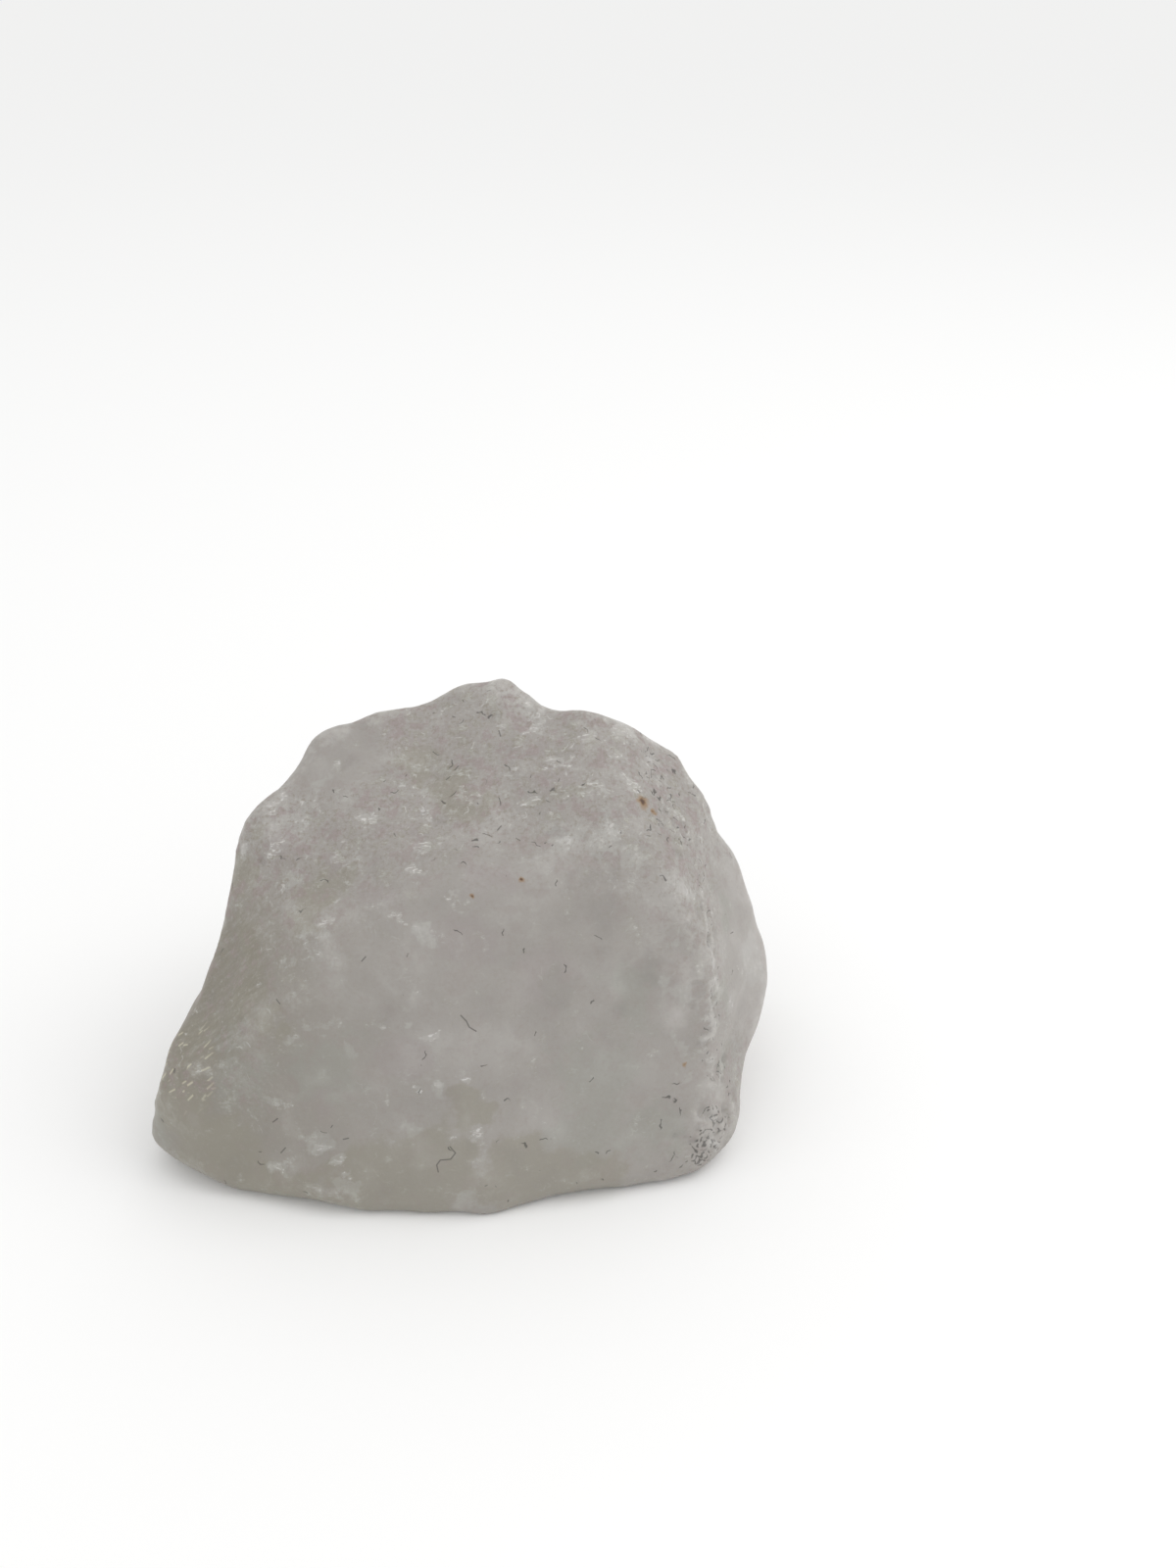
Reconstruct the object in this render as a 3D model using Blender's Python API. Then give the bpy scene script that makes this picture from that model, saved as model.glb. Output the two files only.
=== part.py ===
"""A rough lump of milky quartz, 52 mm long, resting on its flat underside.

The lump is broken from a block: one plane for each fracture face, then the
shell-shaped scoops that quartz leaves where it chips. Its edges are worn
round, and the skin gets the lumps, hollows, swells and ledges of broken
quartz. Metres, +Z up, the front face looks to -Y, and the origin is at the
middle of the underside.
"""

import math

import bmesh
import bpy
from mathutils import Matrix, Vector, noise

MM = 0.001

# Driving dimensions, in millimetres. The heart is the point inside the stone
# that every face, scoop, lump and hollow is measured from.
HEART = Vector((0.5, -2.4, 14.8))
BLOCK = 90.0
SKIN_GRAIN = 0.5
WEAR_PASSES, WEAR_STRENGTH = 18, 0.5
MOST_TRIANGLES = 9000

# Fracture faces: where each looks (turn from +X and tilt above level, in
# degrees) and how far it stands from the heart
FACES = {
    "front": (-82, 17, 13.2),
    "front_turn": (-96, 14, 13.9),
    "front_left": (-108, 11.5, 16.1),
    "front_left_foot": (-128, 2, 23.0),
    "brow_left": (-95, 38, 13.9),
    "brow_right": (-80, 37, 15.0),
    "left_slope": (-130, 33.6, 16.6),
    "left_nose": (172, 9, 23.4),
    "left_side": (160, 13, 18.5),
    "left_corner": (143, 25, 17.6),
    "left_shoulder": (133, 34, 18.6),
    "upper_left": (-104, 58, 14.1),
    "upper_middle": (-92, 55, 14.8),
    "upper_right": (-80, 56, 16.1),
    "upper_right_corner": (-35, 51, 20.1),
    "right": (-24.5, 20.8, 21.5),
    "right_foot": (-32, 9, 22.2),
    "right_shoulder": (48, 37, 20.6),
    "right_upper_back": (28, 25, 22.2),
    "right_back": (15, 14, 23.6),
    "right_bulge": (-3, -7, 26.0),
    "right_under": (-10, -16, 26.0),
    "peak_right": (60, 42, 19.2),
    "top_left_back": (110, 38, 18.1),
    "back": (92, 14, 19.5),
    "back_left": (135, 12, 20.5),
    "back_right": (55, 8, 22.0),
    "left_under": (-138, -35, 28.2),
    "back_under": (90, -30, 24.0),
    "underside": (0, -90, 14.8),
}

# Shell-shaped scoops: the deepest point from the heart, where the scoop looks
# (turn, tilt) and the radius of the shell
SCOOPS = {
    "back_shell": ((3.0, 19.0, 0.0), (88, 12), 26.0),
    "back_left_shell": ((-14.5, 12.0, -2.0), (138, 16), 22.0),
    "back_right_shell": ((16.5, 13.0, 2.0), (52, 14), 18.0),
}
SHELL_SMOOTHNESS = 5

# Worn lumps (+) and hollows (-): where each is from the heart, how far it
# reaches and how high it rises
FORMS = {
    "peak_nub": ((4.2, 6.4, 20.4), 2.1, 0.8),
    "peak_crest": ((2.6, 8.0, 20.0), 2.6, 0.3),
    "saddle": ((8.4, 3.5, 19.7), 2.4, -0.8),
    "dip_left_of_peak": ((-5.2, 5.4, 18.8), 4.0, -0.6),
    "left_shoulder_knob": ((-10.8, 4.6, 17.6), 2.4, 0.6),
    "left_shoulder_dip": ((-14.6, 1.4, 14.6), 3.0, -0.4),
    "left_side_hollow": ((-20.4, -3.4, 5.0), 6.0, -0.7),
    "notch_over_nose": ((-22.4, -7.0, 0.0), 3.8, -0.4),
    "left_hollow": ((-9.9, -6.7, 10.9), 3.4, -0.8),
    "brow_corner": ((-12.4, -8.5, 8.0), 2.6, 0.5),
    "brow_lump": ((1.0, -9.4, 10.6), 3.2, 0.3),
    "front_hollow": ((10.0, -12.4, -2.0), 7.0, -0.5),
    "right_shoulder_knob": ((13.8, 2.6, 18.2), 3.2, 0.75),
    "right_bulge_knob": ((24.6, -2.6, -3.6), 3.2, 0.4),
    "upper_hollow": ((-1.0, -1.4, 16.0), 5.0, -0.4),
    "upper_right_lump": ((13.0, -2.8, 14.6), 3.6, 0.4),
}

# The broken skin: the size of each kind of roughness and how high it rises
SWELL_SIZE, SWELL_RISE = 9.0, 0.45
LUMP_SIZE, LUMP_RISE = 3.8, 0.22
SKIN_SEED = Vector((3.1, 7.4, 1.9))

# Ledges: low steps, one after another along LEDGE_WAY. The riser is the share
# of the spacing that each step climbs in. They bend, and they come in patches.
LEDGE_WAY = Vector((0.45, -0.35, 0.82))
LEDGE_SPACING, LEDGE_RISE, LEDGE_RISER = 5.5, 0.27, 0.35
LEDGE_BEND_SIZE, LEDGE_BEND = 10.0, 0.9
LEDGE_PATCH_SIZE, LEDGE_PATCH_EDGE = 11.0, 2.2
LEDGE_PATCH_SEED = Vector((1.3, 6.2, 4.6))

# The foot: how high its round edge reaches, how far the edge is tucked in
# under the stone, as a share of the stone's width, and how unevenly. What is
# nearer to the ground than the press height ends up flat on it.
FOOT_HEIGHT, FOOT_TUCK = 2.8, 0.06
FOOT_WAVE_SIZE, FOOT_WAVE = 7.0, 0.9
UNDERSIDE_PRESS = 0.12

QUARTZ_COLOUR = (0.52, 0.49, 0.45, 1.0)
QUARTZ_ROUGHNESS = 0.4
QUARTZ_IOR = 1.544


def facing(turn, tilt):
    """The direction that a face looks in, from its turn and tilt in degrees."""
    turn, tilt = math.radians(turn), math.radians(tilt)
    level = math.cos(tilt)
    return Vector((level * math.cos(turn), level * math.sin(turn), math.sin(tilt)))


def object_of(name, bm):
    """A new object in the scene from a mesh in millimetres."""
    bmesh.ops.scale(bm, vec=(MM, MM, MM), verts=bm.verts)
    mesh = bpy.data.meshes.new(name)
    bm.to_mesh(mesh)
    bm.free()
    made = bpy.data.objects.new(name, mesh)
    bpy.context.scene.collection.objects.link(made)
    return made


def settle(stone):
    """Applies what the modifiers make of the stone to its mesh."""
    bpy.context.view_layer.update()
    graph = bpy.context.evaluated_depsgraph_get()
    made = bpy.data.meshes.new_from_object(stone.evaluated_get(graph))
    stone.modifiers.clear()
    stone.data = made


def break_off(bm, point, looks):
    """Breaks away what lies past a plane and closes the face that it leaves."""
    cut = bmesh.ops.bisect_plane(
        bm,
        geom=bm.verts[:] + bm.edges[:] + bm.faces[:],
        plane_co=point,
        plane_no=looks,
        clear_outer=True,
    )
    rim = [part for part in cut["geom_cut"] if isinstance(part, bmesh.types.BMEdge)]
    if rim:
        bmesh.ops.holes_fill(bm, edges=rim)


def break_block():
    """A block, broken off flat along every fracture face."""
    bm = bmesh.new()
    bmesh.ops.create_cube(bm, size=BLOCK)
    bmesh.ops.translate(bm, verts=bm.verts, vec=HEART)
    for turn, tilt, reach in FACES.values():
        looks = facing(turn, tilt)
        break_off(bm, HEART + looks * reach, looks)
    return object_of("quartz_crystal", bm)


def scoop_out(stone):
    """Takes each shell-shaped scoop out of the stone with a hidden ball."""
    balls = []
    for name, (deepest, (turn, tilt), radius) in SCOOPS.items():
        bm = bmesh.new()
        bmesh.ops.create_icosphere(bm, subdivisions=SHELL_SMOOTHNESS, radius=radius)
        centre = HEART + Vector(deepest) + facing(turn, tilt) * radius
        bmesh.ops.translate(bm, verts=bm.verts, vec=centre)
        ball = object_of(name, bm)
        ball.hide_render = True
        ball.display_type = "WIRE"
        balls.append(ball)
        scoop = stone.modifiers.new(name, "BOOLEAN")
        scoop.operation = "DIFFERENCE"
        scoop.object = ball
    settle(stone)
    for ball in balls:
        bpy.data.objects.remove(ball)


def wear(stone):
    """An even skin over the broken faces, with the sharp edges worn round."""
    skin = stone.modifiers.new("even_skin", "REMESH")
    skin.mode = "VOXEL"
    skin.voxel_size = SKIN_GRAIN * MM
    worn = stone.modifiers.new("worn_edges", "SMOOTH")
    worn.factor = WEAR_STRENGTH
    worn.iterations = WEAR_PASSES
    settle(stone)


def ease(share):
    """A share from 0 to 1, made to start and end softly."""
    share = min(1.0, max(0.0, share))
    return share * share * (3.0 - 2.0 * share)


def form_rise(place):
    """How far the worn lumps and hollows lift the skin at a place."""
    rise = 0.0
    for centre, reach, height in FORMS.values():
        away = (place - HEART - Vector(centre)).length / reach
        rise += height * math.exp(-away * away)
    return rise


def skin_rise(place):
    """How far swells, lumps and stepped ledges lift the skin at a place."""
    swell = SWELL_RISE * noise.noise(place / SWELL_SIZE + SKIN_SEED)
    lump = LUMP_RISE * noise.noise(place / LUMP_SIZE - SKIN_SEED)
    bend = LEDGE_BEND * noise.noise(place / LEDGE_BEND_SIZE + SKIN_SEED.yzx)
    level = place.dot(LEDGE_WAY) / LEDGE_SPACING + bend
    share = level - math.floor(level)
    ledge = LEDGE_RISE * (ease((share - 0.5) / LEDGE_RISER + 0.5) - share)
    patch = noise.noise(place / LEDGE_PATCH_SIZE + LEDGE_PATCH_SEED)
    return swell + lump + ledge * ease(0.5 + LEDGE_PATCH_EDGE * patch)


def tucked(place):
    """A place near the underside, drawn in to make the round foot edge."""
    below = max(0.0, 1.0 - place.z / FOOT_HEIGHT)
    wave = 1.0 + FOOT_WAVE * noise.noise(place / FOOT_WAVE_SIZE + SKIN_SEED)
    draw_in = 1.0 - FOOT_TUCK * wave * below * below
    return Vector((place.x * draw_in, place.y * draw_in, place.z))


def roughen(stone):
    """Lifts and sinks the even skin. The underside gets hollows only, so that
    what is left of it stays flat."""
    mesh = stone.data
    looks = [normal.vector.copy() for normal in mesh.vertex_normals]
    for vertex, away in zip(mesh.vertices, looks):
        place = vertex.co / MM
        foot = ease(place.z / FOOT_HEIGHT)
        rise = form_rise(place) + skin_rise(place)
        rise = rise * foot + min(rise, 0.0) * (1.0 - foot)
        vertex.co = tucked(place + away * rise) * MM


def thin_out(stone):
    """Fewer and larger triangles, which keep the form of the skin."""
    thin = stone.modifiers.new("fewer_triangles", "DECIMATE")
    stone.data.calc_loop_triangles()
    thin.ratio = MOST_TRIANGLES / len(stone.data.loop_triangles)
    settle(stone)


def stand(stone):
    """Makes the underside truly flat and puts its middle at the origin."""
    points = stone.data.vertices
    lowest = min(point.co.z for point in points)
    for point in points:
        if point.co.z < lowest + UNDERSIDE_PRESS * MM:
            point.co.z = lowest
    lows = Vector(min(point.co[axis] for point in points) for axis in range(3))
    highs = Vector(max(point.co[axis] for point in points) for axis in range(3))
    middle = Vector(((lows.x + highs.x) / 2, (lows.y + highs.y) / 2, lowest))
    stone.data.transform(Matrix.Translation(-middle))


def milky_quartz():
    """Cloudy grey-white quartz with a worn, half-dull skin."""
    material = bpy.data.materials.new("milky_quartz")
    material.use_nodes = True
    surface = material.node_tree.nodes["Principled BSDF"].inputs
    surface["Base Color"].default_value = QUARTZ_COLOUR
    surface["Roughness"].default_value = QUARTZ_ROUGHNESS
    surface["Metallic"].default_value = 0.0
    surface["IOR"].default_value = QUARTZ_IOR
    return material


def main():
    for old in list(bpy.data.objects):
        bpy.data.objects.remove(old)
    stone = break_block()
    scoop_out(stone)
    wear(stone)
    roughen(stone)
    thin_out(stone)
    stand(stone)
    stone.data.materials.append(milky_quartz())
    stone.data.shade_smooth()


main()
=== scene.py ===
# %% [markdown]
# # A rough lump of milky quartz
#
# The real object is one piece of vein quartz, 52 mm long. It broke out of the
# vein along curved cracks, so it has no crystal faces, only soft-edged
# breaks, and it is cloudy with tiny bubbles and healed cracks. The packed
# solid already has its faces, scoops, lumps and ledges. This lesson gives it
# a finer skin and the look of cloudy quartz.
#
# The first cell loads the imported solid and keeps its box, because the
# finished stone has to stay inside it.

# %% Load the frame
import math

import bmesh
import bpy
import numpy as np
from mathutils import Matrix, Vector, noise


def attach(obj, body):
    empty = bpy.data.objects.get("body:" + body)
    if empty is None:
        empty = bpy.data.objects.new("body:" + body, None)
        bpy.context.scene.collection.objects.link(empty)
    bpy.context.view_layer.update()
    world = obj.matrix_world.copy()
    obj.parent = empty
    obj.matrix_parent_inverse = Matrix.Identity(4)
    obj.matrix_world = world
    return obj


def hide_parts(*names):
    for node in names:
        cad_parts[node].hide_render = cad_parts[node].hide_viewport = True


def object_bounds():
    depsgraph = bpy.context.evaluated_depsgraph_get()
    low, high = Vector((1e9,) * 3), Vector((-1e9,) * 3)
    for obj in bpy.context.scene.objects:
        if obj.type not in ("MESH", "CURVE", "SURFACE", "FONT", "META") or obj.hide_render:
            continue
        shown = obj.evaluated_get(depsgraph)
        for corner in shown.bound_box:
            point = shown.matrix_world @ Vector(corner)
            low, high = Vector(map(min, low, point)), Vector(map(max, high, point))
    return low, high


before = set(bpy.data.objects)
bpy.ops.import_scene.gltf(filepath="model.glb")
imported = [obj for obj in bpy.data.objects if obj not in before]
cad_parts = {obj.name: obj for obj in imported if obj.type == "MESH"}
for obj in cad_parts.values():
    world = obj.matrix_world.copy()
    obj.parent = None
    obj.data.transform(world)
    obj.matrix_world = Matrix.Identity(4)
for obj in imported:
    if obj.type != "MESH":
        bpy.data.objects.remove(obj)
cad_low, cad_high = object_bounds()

MM = 0.001
print("solid in mm:", [round(side / MM, 2) for side in cad_high - cad_low])

# %% [markdown]
# ## The camera
#
# The stone was looked at from above and from little more than a hand's
# breadth away, with a wide lens, so its near foot looks larger than its
# peak. The same place, dip and lens give the same outline. A camera this
# close also needs a near clip of a millimetre, or the front of the stone is
# cut away.

# %% Set the camera
CAMERA_PLACE = Vector((1.5, -110.0, 88.9)) * MM
CAMERA_DIP, CAMERA_TURN = math.radians(28.9), math.radians(-4.9)
CAMERA_LENS, CAMERA_SENSOR = 35.0, 36.0
CAMERA_NEAR, CAMERA_FAR = 0.001, 30.0


def put_in_scene(name, data):
    """A new object for that data, linked to the scene."""
    made = bpy.data.objects.new(name, data)
    bpy.context.scene.collection.objects.link(made)
    return made


camera = put_in_scene("camera", bpy.data.cameras.new("camera"))
camera.location = CAMERA_PLACE
camera.rotation_euler = (math.pi / 2 - CAMERA_DIP, 0.0, CAMERA_TURN)
camera.data.lens, camera.data.sensor_width = CAMERA_LENS, CAMERA_SENSOR
camera.data.clip_start, camera.data.clip_end = CAMERA_NEAR, CAMERA_FAR
bpy.context.scene.camera = camera
camera_gap = (camera.location - Vector((0.0, 0.0, cad_high.z / 2))).length
print("camera is", round(camera_gap / MM), "mm from the middle of the stone")

# %% [markdown]
# ## Light and floor
#
# Cloudy quartz shows its forms only by slow changes of grey, so hard light
# would tell lies about it. A pale sky lights it from everywhere, a broad soft
# box from the upper right makes the right side the lighter one, and a white
# floor throws light back up under it. The plain Standard view keeps the
# greys as they are mixed.

# %% Set the light and the floor
SKY_COLOUR, SKY_STRENGTH = (1.0, 1.0, 1.0, 1.0), 0.95
FLOOR_HALF = 6.0
FLOOR_COLOUR, FLOOR_ROUGHNESS = (0.925, 0.925, 0.92, 1.0), 0.9
KEY_PLACE, KEY_WIDTH, KEY_POWER = (0.26, -0.05, 0.40), 0.36, 0.50
STONE_MIDDLE = Vector((0.0, 0.0, 0.016))


def soft_box(name, place, width, power):
    """A round area light of that width in metres, turned to the stone."""
    light = bpy.data.lights.new(name, "AREA")
    light.shape, light.size, light.energy = "DISK", width, power
    lamp = put_in_scene(name, light)
    lamp.location = place
    lamp.rotation_euler = (STONE_MIDDLE - lamp.location).to_track_quat("-Z", "Y").to_euler()


soft_box("key_light", KEY_PLACE, KEY_WIDTH, KEY_POWER)

sky = bpy.data.worlds.new("pale_sky")
sky.use_nodes = True
sky_light = sky.node_tree.nodes["Background"]
sky_light.inputs["Color"].default_value = SKY_COLOUR
sky_light.inputs["Strength"].default_value = SKY_STRENGTH
bpy.context.scene.world = sky
bpy.context.scene.view_settings.view_transform = "Standard"

floor_form = bmesh.new()
bmesh.ops.create_grid(floor_form, x_segments=1, y_segments=1, size=FLOOR_HALF)
floor_mesh = bpy.data.meshes.new("floor")
floor_form.to_mesh(floor_mesh)
floor_form.free()
floor = put_in_scene("floor", floor_mesh)

floor_paint = bpy.data.materials.new("pale floor")
floor_paint.use_nodes = True
floor_shader = floor_paint.node_tree.nodes["Principled BSDF"]
floor_shader.inputs["Base Color"].default_value = FLOOR_COLOUR
floor_shader.inputs["Roughness"].default_value = FLOOR_ROUGHNESS
floor_shader.inputs["Specular IOR Level"].default_value = 0.0
floor_mesh.materials.append(floor_paint)
print("floor is", 2 * FLOOR_HALF, "m wide")

# %% [markdown]
# ## The stone's skin
#
# The solid's triangles are over a millimetre wide, and a stone this close to
# the eye needs a finer skin. It could be subdivided, which keeps the pattern
# of the triangles, or remeshed on a grid, which forgets it. The grid is
# better here: a voxel remesh gives even quads of about a third of a
# millimetre, and a few rounds of smoothing take away the facets and leave
# the breaks, lumps and ledges.

# %% Remesh a copy of the solid
WELD = 1e-6
SKIN_GRAIN = 0.30 * MM
SMOOTH_FACTOR, SMOOTH_PASSES = 0.5, 14


def applied(piece):
    """The piece's mesh with its modifiers applied."""
    drawing = bpy.context.evaluated_depsgraph_get()
    return bpy.data.meshes.new_from_object(piece.evaluated_get(drawing))


stone_form = bmesh.new()
stone_form.from_mesh(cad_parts["quartz_crystal"].data)
bmesh.ops.remove_doubles(stone_form, verts=stone_form.verts, dist=WELD)
rough_mesh = bpy.data.meshes.new("quartz_stone")
stone_form.to_mesh(rough_mesh)
stone_form.free()

stone = put_in_scene("quartz_stone", rough_mesh)
grid = stone.modifiers.new("grid", "REMESH")
grid.mode, grid.voxel_size, grid.use_smooth_shade = "VOXEL", SKIN_GRAIN, True
ease = stone.modifiers.new("ease", "SMOOTH")
ease.factor, ease.iterations = SMOOTH_FACTOR, SMOOTH_PASSES
stone.data = applied(stone)
stone.modifiers.clear()
print("skin has", len(stone.data.vertices), "points and", len(stone.data.polygons), "faces")

# %% [markdown]
# ## Numbers for every point
#
# What follows moves each point a little along its normal. The places and
# normals are read once into arrays, in millimetres, and every effect adds to
# one list of pushes. A smooth random field is the raw stuff of most of them.

# %% Read the points
SEED_WAY = np.array((1.0, 2.3, 5.1))


def read_points(mesh, what):
    """An array with a row of three numbers for each point."""
    row = np.empty(len(mesh.vertices) * 3)
    mesh.vertices.foreach_get(what, row)
    return row.reshape(-1, 3)


def soft_step(value, start, end):
    """0 before start and 1 past end, with a soft change between."""
    part = np.clip((value - start) / (end - start), 0.0, 1.0)
    return part * part * (3.0 - 2.0 * part)


def field(points, size, seed):
    """A smooth random value from -1 to 1 at each point, in lumps of that size."""
    shift = Vector(seed * SEED_WAY)
    return np.array([noise.noise(Vector(point) / size + shift) for point in points])


places = read_points(stone.data, "co") / MM
normals = read_points(stone.data, "normal")
push = np.zeros(len(places))
print("points run from", places.min(0).round(2), "to", places.max(0).round(2))

# %% [markdown]
# ## Small forms along the outline
#
# Seen from the front, the stone's edge has dips and knobs that are too small
# for the solid: a notch left of the peak, a slight waist down the left side,
# knobs on the right. Each is a place, a reach and a rise, and lifts or sinks
# the skin around it as a thumb would press clay.

# %% Press the small forms
SMALL_FORMS = {
    "notch left of the peak": ((-1.6, 4.0, 34.7), 2.6, -0.34),
    "knob left of the notch": ((-6.2, 3.6, 33.4), 2.2, 0.30),
    "dent beside the nub": ((2.4, 4.2, 35.8), 1.1, -0.18),
    "nub": ((4.6, 3.6, 36.1), 1.0, 0.30),
    "slope beside the nub": ((6.6, 2.6, 35.2), 1.4, 0.28),
    "saddle knob": ((10.2, 1.6, 34.1), 2.0, 0.38),
    "waist high on the left": ((-18.9, -7.6, 19.0), 3.2, -0.45),
    "waist low on the left": ((-20.9, -9.4, 14.6), 2.4, -0.60),
    "flank of the nose": ((-25.0, -11.4, 8.2), 2.8, -0.35),
    "left shoulder knob": ((-15.4, -2.0, 28.6), 2.2, 0.30),
    "first wave of the left shoulder": ((-10.9, 1.2, 32.1), 1.0, 0.24),
    "second wave of the left shoulder": ((-9.1, 2.1, 32.8), 0.9, 0.26),
    "dip beyond the waves": ((-7.6, 2.6, 33.0), 0.9, -0.20),
    "right shoulder knob": ((18.4, 0.4, 29.6), 2.2, 0.52),
    "slope below the right shoulder": ((20.8, -0.2, 26.2), 1.8, 0.32),
    "right flank knob": ((23.4, -0.8, 20.6), 3.0, 0.45),
    "low right knob": ((24.4, -7.6, 8.6), 2.4, 0.35),
    "foot of the ridge": ((21.4, -14.2, 3.6), 3.0, 0.75),
}

for centre, reach, rise in SMALL_FORMS.values():
    gap = np.linalg.norm(places - np.array(centre), axis=1)
    push += rise * np.exp(-((gap / reach) ** 2))
print(len(SMALL_FORMS), "small forms pressed")

# %% [markdown]
# ## Smooth and hackly skin
#
# Quartz breaks like thick glass. Where the crack ran fast it left a rough,
# stepped skin, and where it ran slowly the break is smooth. On this stone
# the front, the nose, the right flank and the left shoulder are smooth, and
# the rest is hackly. A mask says which is which. The swells are everywhere,
# and the grain and the steps follow the mask.

# %% Add swells, grain and fine steps
SMOOTH_PARTS = {
    "front": ((3.0, -17.0, 12.0), (19.0, 12.0, 19.0)),
    "nose": ((-21.0, -14.0, 3.5), (8.0, 6.0, 5.0)),
    "right flank": ((25.0, -5.0, 15.0), (5.0, 8.0, 9.0)),
    "left shoulder": ((-10.5, 0.2, 31.8), (4.6, 4.6, 2.4)),
}
BLOB_EDGE = (0.75, 1.35)
LEAST_HACKLE, HACKLY_FROM = 0.22, 0.6
SWELL_SIZE, SWELL_RISE, SWELL_SEED = 2.8, 0.075, 1.0
GRAIN_SIZE, GRAIN_RISE, GRAIN_SEED = 0.95, 0.030, 2.0
STEP_SPACING, STEP_RISE, STEP_RISER = 1.15, 0.085, 0.3
STEP_WAY = np.array((0.35, -0.30, 0.88))
STEP_BEND_SIZE, STEP_BEND, STEP_BEND_SEED = 4.5, 1.3, 3.0
STEP_PATCH_SIZE, STEP_PATCH_FULL, STEP_PATCH_SEED = 5.0, 0.35, 4.0


def outside(points, centre, reach):
    """0 within a blob and 1 well outside it."""
    far = np.linalg.norm((points - np.array(centre)) / np.array(reach), axis=1)
    return soft_step(far, *BLOB_EDGE)


hackle = np.ones(len(places))
for centre, reach in SMOOTH_PARTS.values():
    hackle *= outside(places, centre, reach)
hackle = LEAST_HACKLE + (1.0 - LEAST_HACKLE) * hackle
push += SWELL_RISE * field(places, SWELL_SIZE, SWELL_SEED)
push += GRAIN_RISE * hackle * field(places, GRAIN_SIZE, GRAIN_SEED)

along = places @ STEP_WAY + STEP_BEND * field(places, STEP_BEND_SIZE, STEP_BEND_SEED)
tread = (along / STEP_SPACING) % 1.0
stair = soft_step(tread, 1.0 - STEP_RISER, 1.0) - tread
stepped = soft_step(field(places, STEP_PATCH_SIZE, STEP_PATCH_SEED), 0.0, STEP_PATCH_FULL)
push += STEP_RISE * hackle * stepped * stair
print("hackly share of the skin:", round(float((hackle > HACKLY_FROM).mean()), 2))

# %% [markdown]
# ## Chips on the ridge and the corner
#
# The ridge down the right and the corner at its foot are bruised: they stuck
# out most, so they took the knocks. Each knock took off a shell of quartz
# smaller than a lentil. Seeded dice place the chips: some along a line from
# the shoulder to the corner, a cluster at the corner itself, and loose ones
# over the hackly skin. Each one sinks the points around its middle.

# %% Chip the ridge and the corner
RIDGE = np.array(
    (
        (16.1, -0.7, 31.3), (16.7, -5.4, 28.5), (18.6, -7.0, 25.2), (19.6, -7.7, 21.9),
        (19.9, -11.9, 17.6), (19.7, -13.8, 12.8), (20.2, -13.8, 8.8), (21.2, -13.6, 4.9),
    )
)
CORNER = np.array((19.6, -16.4, 4.2))
RIDGE_CHIPS, CORNER_CHIPS, LOOSE_CHIPS = 46, 34, 90
RIDGE_SCATTER, CORNER_SCATTER = 1.0, 1.7
CHIP_RADIUS, CHIP_DEPTH = (0.35, 0.95), 0.16
CHIP_SQUEEZE, CHIP_EDGE = (0.7, 1.7), (0.55, 1.0)
DICE_SEED = 7

dice = np.random.default_rng(DICE_SEED)


def points_along(line, count):
    """Random places along a bent line."""
    where = dice.uniform(0.0, len(line) - 1.0, count)
    return np.stack([np.interp(where, range(len(line)), line[:, axis]) for axis in range(3)], axis=1)


def chip_push(centre, radius):
    """How a chip on the skin nearest to that place pushes each point."""
    nearest = places[np.linalg.norm(places - centre, axis=1).argmin()]
    far = np.linalg.norm((places - nearest) * dice.uniform(*CHIP_SQUEEZE, 3), axis=1) / radius
    return -CHIP_DEPTH * radius * (1.0 - soft_step(far, *CHIP_EDGE))


chips = list(points_along(RIDGE, RIDGE_CHIPS) + dice.normal(0.0, RIDGE_SCATTER, (RIDGE_CHIPS, 3)))
chips += list(CORNER + dice.normal(0.0, CORNER_SCATTER, (CORNER_CHIPS, 3)))
chips += list(places[dice.choice(np.flatnonzero(hackle > HACKLY_FROM), LOOSE_CHIPS)])
for chip in chips:
    push += chip_push(chip, dice.uniform(*CHIP_RADIUS))
print(len(chips), "chips; pushes run from", push.min().round(2), "to", push.max().round(2), "mm")

# %% [markdown]
# ## Move the skin and fit it to the box
#
# The pushes are applied along the normals and fade out at the underside,
# which has to stay flat because the stone rests on it. Smoothing and the
# pushes changed the stone's size by about a tenth of a millimetre, so the
# points are scaled back to the solid's own box, axis by axis.

# %% Move the points
FOOT_FADE, FOOT_FLAT = 1.2, 0.06

places += normals * (push * soft_step(places[:, 2], 0.0, FOOT_FADE))[:, None]
solid_low, solid_high = np.array(cad_low) / MM, np.array(cad_high) / MM
skin_low, skin_high = places.min(0), places.max(0)
stretch = (solid_high - solid_low) / (skin_high - skin_low)
places = solid_low + (places - skin_low) * stretch
places[places[:, 2] < FOOT_FLAT, 2] = 0.0
stone.data.vertices.foreach_set("co", (places * MM).ravel())
stone.data.update()
print("stretched by", stretch.round(4))

# %% [markdown]
# ## Where the stone is worn
#
# Ridges of a stone that has rolled about in a drawer are bruised white, and
# hollows are laid a little darker. Blender can work out this pointiness at render
# time, but the finish should travel with the mesh. So it is measured here:
# how far a point stands above the average of its surroundings, kept as an
# attribute named ridge, where 0.5 is flat, 1 a ridge and 0 a hollow. It
# counts less toward the foot, because the foot's rim is clean on this stone.

# %% Measure the ridges
AVERAGE_ROUNDS, RIDGE_FULL, RIM_TOP = 60, 0.22, 4.0


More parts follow.
